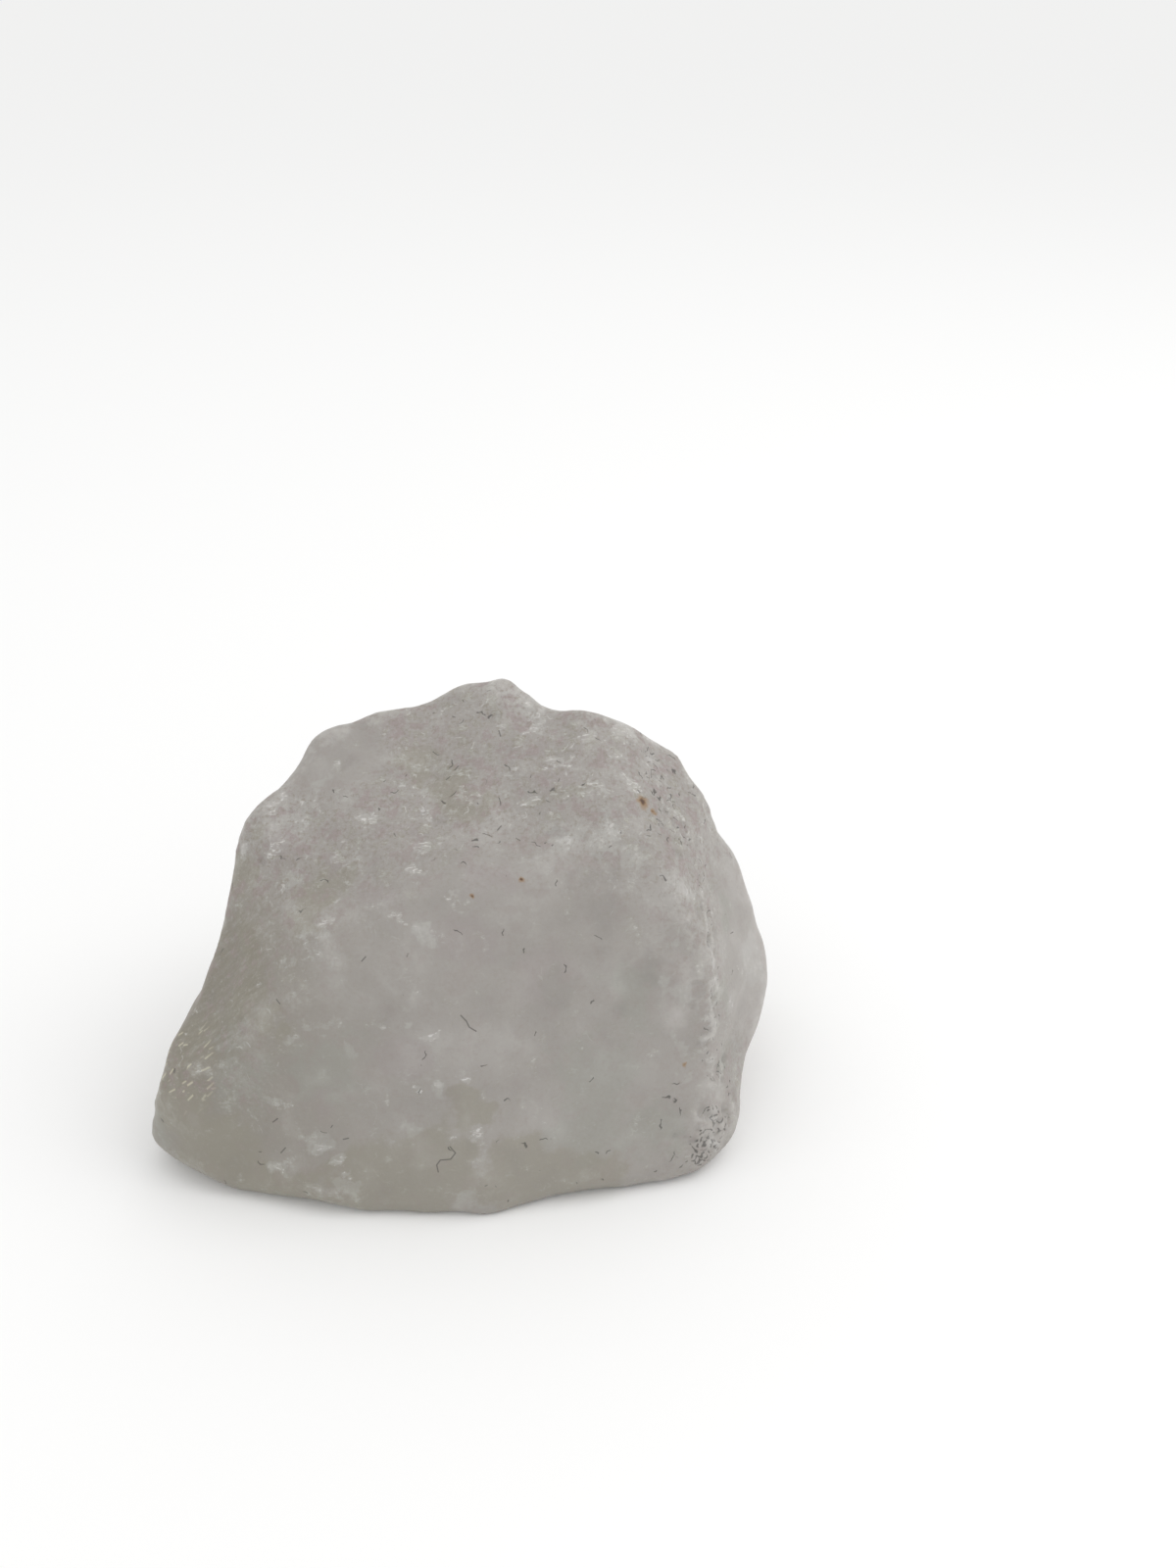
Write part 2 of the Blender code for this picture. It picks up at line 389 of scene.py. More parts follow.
def spread_average(points, pairs, rounds):
    """Each point moved halfway to the average of its neighbours, that many times."""
    count = np.bincount(pairs.ravel(), minlength=len(points))
    for _ in range(rounds):
        total = np.empty_like(points)
        for axis in range(3):
            others = np.concatenate((points[pairs[:, 1], axis], points[pairs[:, 0], axis]))
            total[:, axis] = np.bincount(pairs.T.ravel(), others, len(points))
        points = 0.5 * points + 0.5 * total / count[:, None]
    return points


def keep(name, values):
    """Keeps one number for each point with the mesh, for the finish to read."""
    stone.data.attributes.new(name, "FLOAT", "POINT").data.foreach_set("value", values)
    print(name, "from", round(float(values.min()), 2), "to", round(float(values.max()), 2))


pairs = np.empty(len(stone.data.edges) * 2, np.int32)
stone.data.edges.foreach_get("vertices", pairs)
smoothed = spread_average(places, pairs.reshape(-1, 2), AVERAGE_ROUNDS)
proud = ((places - smoothed) * normals).sum(1) * soft_step(places[:, 2], 0.0, RIM_TOP)
keep("ridge", np.clip(0.5 + 0.5 * proud / RIDGE_FULL, 0.0, 1.0))

# %% [markdown]
# ## Where the stone is knocked and combed
#
# More masks go with the mesh, because a number kept at each point costs the
# renderer next to nothing. The knocks say how crowded the dark nicks are:
# few on the front, more near the top and low on the right, and thick along
# the ridge and at the corner. The comb marks the slope at the left, where
# the quartz grew in fine rods. The left painted shade says how much the
# colour is darkened toward the left and below the shoulder, away from the
# soft box. The hackly mask is kept with them.

# %% Keep the knocks, the comb and the painted shade
CLOUD_FALL, CLOUD_FINER, CLOUD_OCTAVES = 1.0, 2.0, 4
FRAY_SIZE, FRAY_REACH, FRAY_SEED = 3.2, 1.2, 0.0
FEW_KNOCKS, TOP_KNOCKS, LOW_RIGHT_KNOCKS = 0.035, 0.20, 0.12
RIDGE_KNOCKS, RIDGE_BAND = 0.28, (1.4, 0.42)
CORNER_KNOCKS, CORNER_BAND = 0.85, (2.0, 0.9)
CORNER_EDGE = np.array(((20.0, -16.0, 5.4), (19.6, -16.4, 4.2), (18.8, -16.9, 2.6)))
TOP = ((7.0, -4.0, 31.0), (15.0, 8.0, 6.5))
LOW_RIGHT = ((13.0, -17.0, 5.5), (8.0, 4.0, 4.5))
COMBED_SLOPE = ((-19.0, -9.8, 15.0), (6.0, 4.0, 8.5))
SHADE_RUN, SHADE_TOP = (-1.0, -20.0), (29.0, 19.0)


def gap_to_line(points, line):
    """Each point's distance from a bent line."""
    nearest = np.full(len(points), np.inf)
    for first, last in zip(line[:-1], line[1:]):
        run = last - first
        share = np.clip((points - first) @ run / (run @ run), 0.0, 1.0)
        gap = np.linalg.norm(points - first - share[:, None] * run, axis=1)
        nearest = np.minimum(nearest, gap)
    return nearest


def cloud(size, seed):
    """A torn cloudy value from about -1 to 1 at each point of the skin."""
    shift = Vector(seed * SEED_WAY)
    settings = (CLOUD_FALL, CLOUD_FINER, CLOUD_OCTAVES)
    return np.array([noise.fractal(Vector(point) / size + shift, *settings) for point in places])


def inside(points, centre, reach):
    """1 within a blob and 0 well outside it."""
    return 1.0 - outside(points, centre, reach)


frayed_places = places + FRAY_REACH * cloud(FRAY_SIZE, FRAY_SEED)[:, None]
bruised = soft_step(gap_to_line(frayed_places, RIDGE), *RIDGE_BAND)
cornered = soft_step(gap_to_line(frayed_places, CORNER_EDGE), *CORNER_BAND)
knocks = FEW_KNOCKS + TOP_KNOCKS * inside(frayed_places, *TOP)
knocks += LOW_RIGHT_KNOCKS * inside(places, *LOW_RIGHT)
knocks += RIDGE_KNOCKS * bruised
knocks += CORNER_KNOCKS * cornered
keep("hackle", hackle)
keep("bruised", bruised)
keep("knocks", knocks)
keep("comb", inside(frayed_places, *COMBED_SLOPE))
# Painted shade: the colour will be darkened toward the left and the bottom, away from the soft box.
keep("left_painted_shade", soft_step(frayed_places[:, 0], *SHADE_RUN) * soft_step(places[:, 2], *SHADE_TOP))

# %% [markdown]
# ## Where the stone changes colour
#
# Milky quartz is grey, with patches of other greys in it. Frost is where fine
# cracks crowd at the skin, mist is bubbles lower down, and the olive, mauve
# and moss patches are how deep one sees into the stone. Smoke is a hollow in
# the milk. On the front they sit where the real stone has them, each a
# centre and a reach in millimetres, and pale ones, which are painted light,
# lighten the right flank, the ridge and the peak, where the light falls. The
# parts turned away from the camera get scattered ones like them, and there
# the pale ones are only a paler grey.

# %% Keep the patches
FRONT_PATCHES = {
    "frost": (
        (-14.0, -3.0, 28.6, 0.8), (-10.6, -3.1, 29.1, 1.0), (-7.4, -4.6, 29.0, 1.0),
        (-5.8, -5.3, 28.8, 0.9), (-14.1, -5.5, 26.9, 0.7), (-8.9, -6.8, 26.9, 0.9),
        (-13.9, -7.7, 24.4, 0.5), (-3.6, -8.5, 27.5, 0.8), (-3.0, -9.6, 27.0, 0.9),
        (-2.8, -5.7, 28.8, 0.9), (0.2, -7.0, 28.6, 0.8), (-1.9, -10.1, 26.7, 0.5),
        (-5.6, -10.4, 25.7, 0.5), (-9.6, -11.7, 23.8, 1.1), (-3.9, -12.7, 24.1, 0.5),
        (-4.2, -13.1, 23.5, 0.7), (-0.8, -12.6, 24.5, 0.6), (-3.7, -14.8, 21.2, 0.3),
        (-3.4, -2.6, 30.4, 0.6), (1.2, -4.3, 30.4, 0.9), (5.6, -5.8, 30.1, 0.6),
        (11.2, -6.3, 30.5, 0.7), (9.1, -6.8, 30.0, 0.5), (11.4, -1.3, 33.6, 0.9),
        (14.1, -0.6, 33.0, 1.1), (8.3, -3.3, 32.3, 1.1), (12.6, -3.6, 31.9, 0.9),
        (14.7, -4.5, 30.5, 0.9), (5.4, 0.8, 33.9, 0.9), (7.4, 0.9, 33.9, 0.9),
        (-10.3, -15.2, 17.4, 0.4), (-15.4, -14.9, 14.2, 0.5), (-6.2, -16.0, 16.6, 0.5),
        (-2.3, -16.4, 15.3, 0.6), (-6.2, -17.2, 10.2, 0.5), (-13.8, -16.2, 9.2, 0.7),
        (-11.8, -17.4, 6.6, 0.8), (-10.0, -18.3, 4.4, 0.9), (-15.3, -17.1, 3.4, 0.6),
        (-3.9, -18.6, 6.6, 0.5), (-1.9, -17.5, 11.4, 0.5), (0.0, -17.4, 11.4, 0.5),
    ),
    "mist": (
        (-12.8, -3.4, 28.5, 1.6), (-13.0, -7.3, 25.3, 1.0), (-10.4, -2.0, 30.1, 1.4),
        (7.9, -9.3, 28.1, 1.9), (11.7, -9.1, 28.0, 2.0), (13.4, -9.7, 26.8, 1.1),
        (13.8, -3.1, 31.8, 1.2), (-12.1, -13.3, 20.4, 0.7), (-10.4, -12.7, 22.6, 0.8),
        (-12.8, -14.4, 18.5, 0.8), (-10.8, -15.2, 17.3, 1.1), (-17.9, -14.1, 12.6, 1.4),
        (-12.3, -15.5, 15.3, 0.9), (-9.3, -16.2, 14.7, 1.4), (-3.1, -16.1, 16.6, 0.9),
        (-15.1, -15.8, 9.4, 1.1), (-11.8, -17.4, 6.7, 1.3), (-15.1, -17.1, 3.5, 1.1),
        (-10.3, -18.2, 4.9, 1.1), (-9.8, -18.8, 3.0, 1.1), (-4.4, -18.2, 7.5, 1.3),
        (-2.1, -17.6, 11.0, 0.9), (0.4, -20.1, 2.3, 1.9), (-2.3, -13.8, 22.8, 0.8),
        (17.1, -10.3, 24.6, 0.9), (17.2, -12.2, 20.8, 0.8), (17.4, -13.6, 16.4, 1.7),
        (16.9, -14.4, 12.6, 0.8), (17.4, -14.8, 9.6, 1.2), (18.2, -15.6, 5.0, 1.4),
        (22.6, -11.8, 6.6, 1.2), (24.6, -6.6, 14.0, 2.2), (23.8, -6.4, 18.5, 1.4),
        (5.6, 2.0, 35.0, 2.0),
    ),
    "olive": (
        (-15.8, -4.0, 27.4, 1.2), (-17.6, -5.3, 24.0, 1.6), (-10.8, -8.9, 24.8, 1.8),
        (-8.9, -9.2, 25.0, 1.3), (-11.8, -11.0, 23.4, 1.5), (-16.9, -9.9, 19.4, 1.7),
        (-17.0, -11.8, 16.4, 2.4), (-14.1, -14.8, 16.0, 1.3), (-21.4, -11.7, 12.4, 2.6),
        (-22.6, -13.0, 8.0, 3.4), (-20.6, -15.4, 4.4, 3.6), (-16.6, -17.0, 1.4, 2.8),
        (-11.4, -18.0, 4.3, 1.0), (-6.9, -18.9, 4.0, 3.0), (-2.3, -19.2, 5.0, 3.2),
        (0.4, -17.9, 9.4, 1.7), (-4.0, -19.6, 2.2, 3.4), (4.1, -19.5, 3.4, 3.6),
        (9.0, -18.8, 1.8, 3.0), (-9.6, -18.8, 1.4, 2.4), (-13.4, -17.6, 1.6, 2.4),
        (-2.6, -0.9, 31.4, 2.2), (-0.3, -4.3, 30.0, 1.8), (2.7, -5.7, 29.9, 1.5),
    ),
    "mauve": (
        (-13.9, -5.8, 26.6, 1.5), (-9.3, -7.1, 26.5, 1.5), (-6.2, -11.1, 25.1, 1.4),
        (1.4, -0.1, 32.8, 1.2), (-0.8, 0.6, 32.7, 1.1), (7.4, -4.9, 31.3, 2.0),
        (6.1, -1.7, 32.7, 1.6), (-3.6, 1.4, 32.6, 2.0), (2.5, -11.3, 26.5, 1.8),
        (-4.9, -16.7, 13.8, 2.3), (-11.2, -16.8, 9.5, 1.8), (0.8, -13.9, 22.5, 2.6),
        (6.7, -14.0, 18.6, 3.2), (-5.0, -6.4, 28.3, 1.5), (-12.7, -10.8, 23.0, 1.0),
    ),
    "moss": (
        (-17.6, -14.5, 10.8, 3.0), (-11.0, -16.0, 12.4, 3.0), (-9.0, -15.6, 15.4, 2.0),
        (-17.4, -12.8, 14.2, 2.0), (10.4, -17.0, 10.8, 3.8), (13.2, -13.6, 16.0, 2.8),
        (7.6, -14.8, 17.6, 2.0), (9.8, -18.0, 6.0, 3.6), (21.6, -6.6, 19.4, 1.6),
        (20.2, -11.6, 14.0, 1.8), (21.6, -12.2, 9.0, 1.6), (15.0, -16.8, 5.4, 2.6),
    ),
    "smoke": (
        (-7.8, -0.8, 31.3, 0.5), (4.7, -2.8, 31.9, 0.9), (11.0, -10.1, 26.9, 0.7),
        (11.6, -8.3, 28.8, 0.6), (11.4, -10.8, 25.9, 1.2), (9.2, -11.0, 26.1, 1.0),
        (10.4, -1.4, 33.5, 0.7), (-9.5, -10.9, 24.2, 0.4), (14.2, -12.4, 19.0, 1.1),
        (15.0, -13.2, 16.9, 1.0), (10.6, -12.2, 22.8, 2.0), (11.8, -14.4, 15.2, 1.2),
    ),
    # On the front the pale patches are painted light where the light falls.
    "pale_and_painted_light": (
        (25.6, -5.0, 13.0, 4.4), (24.4, -8.0, 9.6, 4.2), (24.6, -3.0, 19.0, 2.6),
        (17.6, -12.7, 18.0, 1.5), (17.2, -10.8, 22.0, 1.2), (17.0, -14.6, 14.0, 1.3),
        (4.3, 1.9, 35.0, 1.9), (7.0, -16.5, 19.0, 3.0),
    ),
}
OTHER_PATCHES = {
    "frost": (70, 0.4, 1.1),
    "mist": (44, 0.8, 2.0),
    "olive": (20, 1.2, 3.4),
    "mauve": (18, 1.2, 2.8),
    "moss": (18, 1.6, 3.8),
    "smoke": (16, 0.5, 1.5),
    "pale_and_painted_light": (10, 2.0, 5.0),
}
VIEW_WAY, SEEN_FROM = np.array((0.0, -0.78, 0.63)), 0.1
BEND_SIZE, BEND, BEND_SEEDS = 2.2, 1.7, (6.0, 7.0, 8.0)
PATCH_EDGE = (1.5, 0.1)

bend = np.stack([cloud(BEND_SIZE, seed) for seed in BEND_SEEDS], axis=1)
bent_places = places + BEND * bend
turned_away = np.flatnonzero(normals @ VIEW_WAY < SEEN_FROM)
for kind, spots in FRONT_PATCHES.items():
    count, least, most = OTHER_PATCHES[kind]
    centres = places[dice.choice(turned_away, count)]
    reaches = dice.uniform(least, most, (count, 1))
    mask = np.zeros(len(places))
    for *centre, reach in [*spots, *np.hstack((centres, reaches))]:
        far = np.linalg.norm(bent_places - np.array(centre), axis=1) / reach
        mask = np.maximum(mask, soft_step(far, *PATCH_EDGE))
    keep(kind, mask)

# %% [markdown]
# ## A short way to write nodes
#
# A finish is a graph of nodes, and a graph written link by link is hard to
# read. This small class adds a node, sets it and wires it in one line, and
# gives back the socket that the next line needs. A socket may be filled with
# a number, a colour or another node's output. The Mix node has several
# sockets of one name, so those for colours go by their numbers.

# %% Helpers for node graphs
MIX_SHARE, MIX_UNDER, MIX_OVER, MIX_RESULT = 0, 6, 7, 2


class Graph:
    """A node tree with short ways to add nodes."""

    def __init__(self, tree):
        self.tree = tree

    def add(self, kind, sockets, **settings):
        """Adds a node, sets it, and fills its sockets with values or wires."""
        node = self.tree.nodes.new(kind)
        for name, value in settings.items():
            setattr(node, name, value)
        for name, value in sockets.items():
            if isinstance(value, bpy.types.NodeSocket):
                self.tree.links.new(value, node.inputs[name])
            else:
                node.inputs[name].default_value = value
        return node

    def maths(self, operation, *values):
        """One sum on numbers."""
        return self.add("ShaderNodeMath", dict(enumerate(values)), operation=operation).outputs[0]

    def vector(self, operation, *values):
        """One sum on vectors, with a vector as the answer."""
        sockets = dict(enumerate(values))
        return self.add("ShaderNodeVectorMath", sockets, operation=operation).outputs["Vector"]

    def measure(self, operation, *values):
        """One sum on vectors, with a number as the answer."""
        sockets = dict(enumerate(values))
        return self.add("ShaderNodeVectorMath", sockets, operation=operation).outputs["Value"]

    def scaled(self, vector, factor):
        """A vector times a number."""
        sockets = {"Vector": vector, "Scale": factor}
        return self.add("ShaderNodeVectorMath", sockets, operation="SCALE").outputs["Vector"]

    def step(self, value, start, end):
        """0 at start and 1 at end, with a soft change between."""
        sockets = {"Value": value, "From Min": start, "From Max": end}
        node = self.add("ShaderNodeMapRange", sockets, interpolation_type="SMOOTHSTEP")
        return node.outputs["Result"]

    def lumps(self, place, size, detail=2.0, roughness=0.5, bend=0.0):
        """A cloudy value around 0.5, in lumps of that size."""
        sockets = {
            "Vector": place,
            "Scale": 1.0 / size,
            "Detail": detail,
            "Roughness": roughness,
            "Distortion": bend,
        }
        return self.add("ShaderNodeTexNoise", sockets).outputs["Fac"]

    def tint(self, amount, colour, over):
        """One colour laid over another by an amount from 0 to 1."""
        sockets = {MIX_SHARE: amount, MIX_UNDER: over, MIX_OVER: colour}
        node = self.add("ShaderNodeMix", sockets, data_type="RGBA")
        return node.outputs[MIX_RESULT]


def new_group(name, inputs, outputs):
    """A node group with those inputs and outputs; gives its graph and both ends."""
    tree = bpy.data.node_groups.new(name, "ShaderNodeTree")
    for label, value in inputs.items():
        kind = "NodeSocketVector" if isinstance(value, tuple) else "NodeSocketFloat"
        socket = tree.interface.new_socket(label, in_out="INPUT", socket_type=kind)
        socket.default_value = value
    for label in outputs:
        tree.interface.new_socket(label, in_out="OUTPUT", socket_type="NodeSocketFloat")
    graph = Graph(tree)
    start = graph.add("NodeGroupInput", {}).outputs
    end = graph.add("NodeGroupOutput", {}).inputs
    return graph, start, end


print("node helpers are ready")

# %% [markdown]
# ## A soft patch
#
# A pore of rust and the sparkling part of the slope are blobs with a soft
# edge: a centre, a reach in millimetres and a feather. It is a group because
# the finish uses it many times, each time with its own values.

# %% Build the soft patch group
ORIGIN = (0.0, 0.0, 0.0)

graph, start, end = new_group(
    "soft patch",
    {"Place": ORIGIN, "Centre": ORIGIN, "Reach": (1.0, 1.0, 1.0), "Feather": 0.5},
    ["Mask"],
)
from_centre = graph.vector("SUBTRACT", start["Place"], start["Centre"])
far = graph.measure("LENGTH", graph.vector("DIVIDE", from_centre, start["Reach"]))
outer = graph.maths("ADD", 1.0, start["Feather"])
inner = graph.maths("SUBTRACT", 1.0, start["Feather"])
graph.tree.links.new(graph.step(far, outer, inner), end["Mask"])
print("soft patch:", len(graph.tree.nodes), "nodes")

# %% [markdown]
# ## A vein
#
# A hair crack shows as a dark line that turns here and there. It is made of
# short straight runs, end to end. A vein is one such run: a thin line from one
# point to another, darkest in its middle.

# %% Build the vein group
graph, start, end = new_group(
    "vein",
    {"Place": ORIGIN, "From": ORIGIN, "To": (1.0, 0.0, 0.0), "Width": 0.2},
    ["Mask"],
)
run = graph.vector("SUBTRACT", start["To"], start["From"])
reach = graph.vector("SUBTRACT", start["Place"], start["From"])
run_square = graph.measure("DOT_PRODUCT", run, run)
share = graph.maths("DIVIDE", graph.measure("DOT_PRODUCT", reach, run), run_square)
clamped = graph.add("ShaderNodeClamp", {"Value": share}).outputs[0]
gap = graph.measure("LENGTH", graph.vector("SUBTRACT", reach, graph.scaled(run, clamped)))
graph.tree.links.new(graph.step(gap, start["Width"], 0.0), end["Mask"])
print("vein:", len(graph.tree.nodes), "nodes")

# %% [markdown]
# ## Scattered marks
#
# The skin is sprinkled with short marks: dark nicks, which are the shadowed
# rims of tiny chips painted as shadow, and white glints, which are painted
# highlights where cracks catch the light.
# One group makes both. Each cell of a Voronoi pattern holds one thin bent
# disc at a random slope, and where the disc cuts the skin it leaves a short
# curved line. A lean turns the discs one way. A lot drawn for the cell says
# whether it is a nick, a glint or nothing.

# %% Build the scattered marks group
MARK_SOCKETS = {
    "Place": ORIGIN,
    "Spacing": 2.0,
    "Length": 0.8,
    "Width": 0.1,
    "Share": 0.5,
    "Glint Share": 0.0,
    "Lean": ORIGIN,
    "Bend": 0.55,
}
MIDDLE = (0.5, 0.5, 0.5)
SHORTEST_HALF, MORE_HALF = 0.2, 0.5
LINE_CORE, TIP_CORE = 0.3, 0.6

graph, start, end = new_group("scattered marks", MARK_SOCKETS, ["Mask", "Glints"])
fineness = graph.maths("DIVIDE", 1.0, start["Spacing"])
cell_place = graph.scaled(start["Place"], fineness)
cells = graph.add("ShaderNodeTexVoronoi", {"Vector": cell_place, "Scale": 1.0}, feature="F1")
from_middle = graph.vector("SUBTRACT", cell_place, cells.outputs["Position"])
from_middle = graph.scaled(from_middle, start["Spacing"])
slope = graph.vector("SUBTRACT", cells.outputs["Color"], MIDDLE)
slope = graph.vector("NORMALIZE", graph.vector("ADD", slope, start["Lean"]))
height = graph.measure("DOT_PRODUCT", from_middle, slope)
far = graph.measure("LENGTH", from_middle)
curved = graph.maths("MULTIPLY_ADD", graph.maths("MULTIPLY", far, far), start["Bend"], height)
core = graph.maths("MULTIPLY", start["Width"], LINE_CORE)
line = graph.step(graph.maths("ABSOLUTE", curved), start["Width"], core)
lot = graph.add("ShaderNodeTexWhiteNoise", {"Vector": cells.outputs["Position"]}).outputs["Value"]
red = graph.add("ShaderNodeSeparateColor", {"Color": cells.outputs["Color"]}).outputs["Red"]
half_share = graph.maths("MULTIPLY_ADD", red, MORE_HALF, SHORTEST_HALF)
half = graph.maths("MULTIPLY", start["Length"], half_share)
tip = graph.step(far, half, graph.maths("MULTIPLY", half, TIP_CORE))
mark = graph.maths("MULTIPLY", line, tip)
picked = graph.maths("LESS_THAN", lot, start["Share"])
shiny = graph.maths("GREATER_THAN", lot, graph.maths("SUBTRACT", 1.0, start["Glint Share"]))
graph.tree.links.new(graph.maths("MULTIPLY", mark, picked), end["Mask"])
graph.tree.links.new(graph.maths("MULTIPLY", mark, shiny), end["Glints"])
print("scattered marks:", len(graph.tree.nodes), "nodes")

# %% [markdown]
# ## The quartz finish: patches
#
# The finish starts from plain grey quartz and lays one colour over another.
# The broad patches come first. Each was kept with the mesh as a soft mask.
# The painted shade on the left and on the combed slope, the pale parts, which
# are partly painted light, and the smoke fade out softly. A fine cloudy value
# tears the edges of the moss, olive and mauve patches, because a patch in a
# stone has no airbrushed rim.

# %% Start the finish and lay its patches
QUARTZ = (0.330, 0.310, 0.288, 1.0)
MILK = (0.620, 0.608, 0.592, 1.0)
MIST = (0.430, 0.430, 0.405, 1.0)
PALE_AND_PAINTED_LIGHT = (0.455, 0.428, 0.410, 1.0)
MAUVE = (0.296, 0.254, 0.250, 1.0)
PINK = (0.290, 0.232, 0.228, 1.0)
MOSS = (0.292, 0.292, 0.258, 1.0)
OLIVE = (0.262, 0.246, 0.196, 1.0)
BROWN = (0.248, 0.220, 0.180, 1.0)
SHADE_AND_STREAK = (0.230, 0.212, 0.172, 1.0)
STRAW_HIGHLIGHT = (0.660, 0.620, 0.470, 1.0)
SMOKE = (0.205, 0.192, 0.178, 1.0)
RUST = (0.270, 0.150, 0.050, 1.0)
DARK_RUST = (0.060, 0.022, 0.010, 1.0)
SHADOW_AND_CRACK_DARK = (0.055, 0.050, 0.045, 1.0)

TORN_SIZE, TORN_MIDDLE = 1.6, 0.5
# The first and third soft patches are painted shade that darkens the left side and the combed slope;
# the pale one is partly painted light.
SOFT_PATCHES = (("left_painted_shade", 0.60, SHADE_AND_STREAK), ("pale_and_painted_light", 0.44, PALE_AND_PAINTED_LIGHT), ("comb", 0.40, SHADE_AND_STREAK))
TORN_PATCHES = (
    ("moss", 1.4, (0.15, 0.75), 0.50, MOSS),
    ("olive", -1.2, (0.04, 0.56), 0.58, OLIVE),
    ("mauve", 1.3, (0.15, 0.80), 0.30, MAUVE),
)
SMOKE_STRENGTH = 0.29

quartz = bpy.data.materials.new("milky quartz")
quartz.use_nodes = True
graph = Graph(quartz.node_tree)
shader = quartz.node_tree.nodes["Principled BSDF"]


def lay(amount, strength, paint):
    """The colour so far with a paint laid over it, by a mask times a strength."""
    return graph.tint(graph.maths("MULTIPLY", amount, strength), paint, colour)


def kept(name):
    """A mask that was kept with the mesh."""
    return graph.add("ShaderNodeAttribute", {}, attribute_name=name).outputs["Fac"]


def ragged(mask, tear, edge):
    """A kept mask with an edge torn by the cloudy value."""
    return graph.step(graph.maths("MULTIPLY_ADD", unrest, tear, mask), *edge)


coordinates = graph.add("ShaderNodeTexCoord", {}).outputs["Object"]
place = graph.scaled(coordinates, 1.0 / MM)
torn = graph.lumps(place, TORN_SIZE, detail=5.0, roughness=0.70)
unrest = graph.maths("SUBTRACT", torn, TORN_MIDDLE)

colour = QUARTZ
for name, strength, paint in SOFT_PATCHES:
    colour = lay(kept(name), strength, paint)
for name, tear, edge, strength, paint in TORN_PATCHES:
    colour = lay(ragged(kept(name), tear, edge), strength, paint)
colour = lay(kept("smoke"), SMOKE_STRENGTH, SMOKE)
print(len(SOFT_PATCHES) + len(TORN_PATCHES) + 1, "kinds of patch laid over the grey")

# %% [markdown]
# ## The quartz finish: veils and speckle
#
# Inside the stone hang veils of bubbles. Some lie deep and look blurred, and
# some touch the skin and look torn. On the hackly part, pinkish, olive and
# pale specks show where grains are bruised, and a fine speckle lies over
# them, which is faint on the smooth parts. Most of these layers come about
# alike: a paint, a strength, and the band of a cloudy value in which it shows.

# %% Lay the veils and the speckle
DEEP_SIZE, DEEP_BEND, DEEP_LOW = 4.2, 0.4, (0.52, 0.46)
DEEP_MILK = (0.50, 0.78, 0.16, MILK)
DEEP_SMOKE = (0.50, 0.25, 0.18, SMOKE)
PINK_SPECKS = (0.455, 0.405, 0.52, PINK)
OLIVE_SPECKS = (0.535, 0.575, 0.50, OLIVE)
PALE_SPECKS = (0.56, 0.63, 0.30, MIST)
MIST_TEAR, MIST_EDGE, MIST_STRENGTH = 1.7, (0.30, 0.60), 0.26
MIST_CORES = (0.50, 0.62, 0.15, MILK)
SPECKLE_SIZE = 0.34
BROWN_SPECKLE = (0.52, 0.68, 0.58, BROWN)
PALE_SPECKLE = (0.46, 0.30, 0.14, MILK)


def both(*masks):
    """Where all the masks are on."""
    made = masks[0]
    for mask in masks[1:]:
        made = graph.maths("MULTIPLY", made, mask)
    return made


def lay_band(layer, value, *masks):
    """The colour so far with a layer laid over it, within its band of a value and the masks."""
    start, end, strength, paint = layer
    return lay(both(graph.step(value, start, end), *masks), strength, paint)


hackly, mist = kept("hackle"), kept("mist")
combed = kept("comb")
uncombed = graph.maths("SUBTRACT", 1.0, combed)

deep = graph.lumps(place, DEEP_SIZE, bend=DEEP_BEND)
colour = lay_band(DEEP_MILK, deep)
colour = lay_band(DEEP_SMOKE, deep)
colour = lay_band(PINK_SPECKS, torn, hackly)
colour = lay_band(OLIVE_SPECKS, torn, hackly, graph.step(deep, *DEEP_LOW))
colour = lay_band(PALE_SPECKS, torn, hackly, uncombed)
colour = lay(both(ragged(mist, MIST_TEAR, MIST_EDGE), uncombed), MIST_STRENGTH, MIST)
colour = lay_band(MIST_CORES, torn, mist, uncombed)

speckle = graph.lumps(place, SPECKLE_SIZE, roughness=0.70)
colour = lay_band(BROWN_SPECKLE, speckle, hackly)
colour = lay_band(PALE_SPECKLE, speckle, hackly)
print("veils, specks and speckle laid")

# %% [markdown]
# ## The quartz finish: frost, streaks and sparkles
#
# Where cracks reach the skin they show as bright threads. Threads are the
# crests of a cloudy value that is drawn out sideways, and they crowd where
# the frost is. The slope at the left is combed another way: the quartz grew
# there in rods, which leave olive and grey streaks, and straw-coloured
# sparkles, which are painted highlights.

# %% Lay the frost, the streaks and the sparkles
THREAD_WAY, THREAD_DRAWN, THREAD_SIZE = (0.98, -0.15, 0.10), 3.4, 0.24
THREAD_CREST, THREAD_STRENGTH = (0.52, 0.66), 0.78
FROST_TEAR, FROST_EDGE, FROST_STRENGTH = 3.0, (0.32, 0.70), 0.16
LOOSE_THREADS, LOOSE_SHARE = (0.53, 0.62), 0.42
STREAK_WAY, STREAK_DRAWN, STREAK_SIZE = (0.75, -0.15, 0.64), 4.0, 0.42
DARK_STREAKS = (0.56, 0.42, 0.62, SHADE_AND_STREAK)
LIGHT_STREAKS = (0.58, 0.72, 0.16, MIST)
SPARKLE_PLACE, SPARKLE_REACH = (-22.4, -12.4, 11.0), (2.9, 3.2, 3.6)
SPARKLE_LEAN, SPARKLE_STRENGTH = (0.5, -1.4, -0.9), 0.50


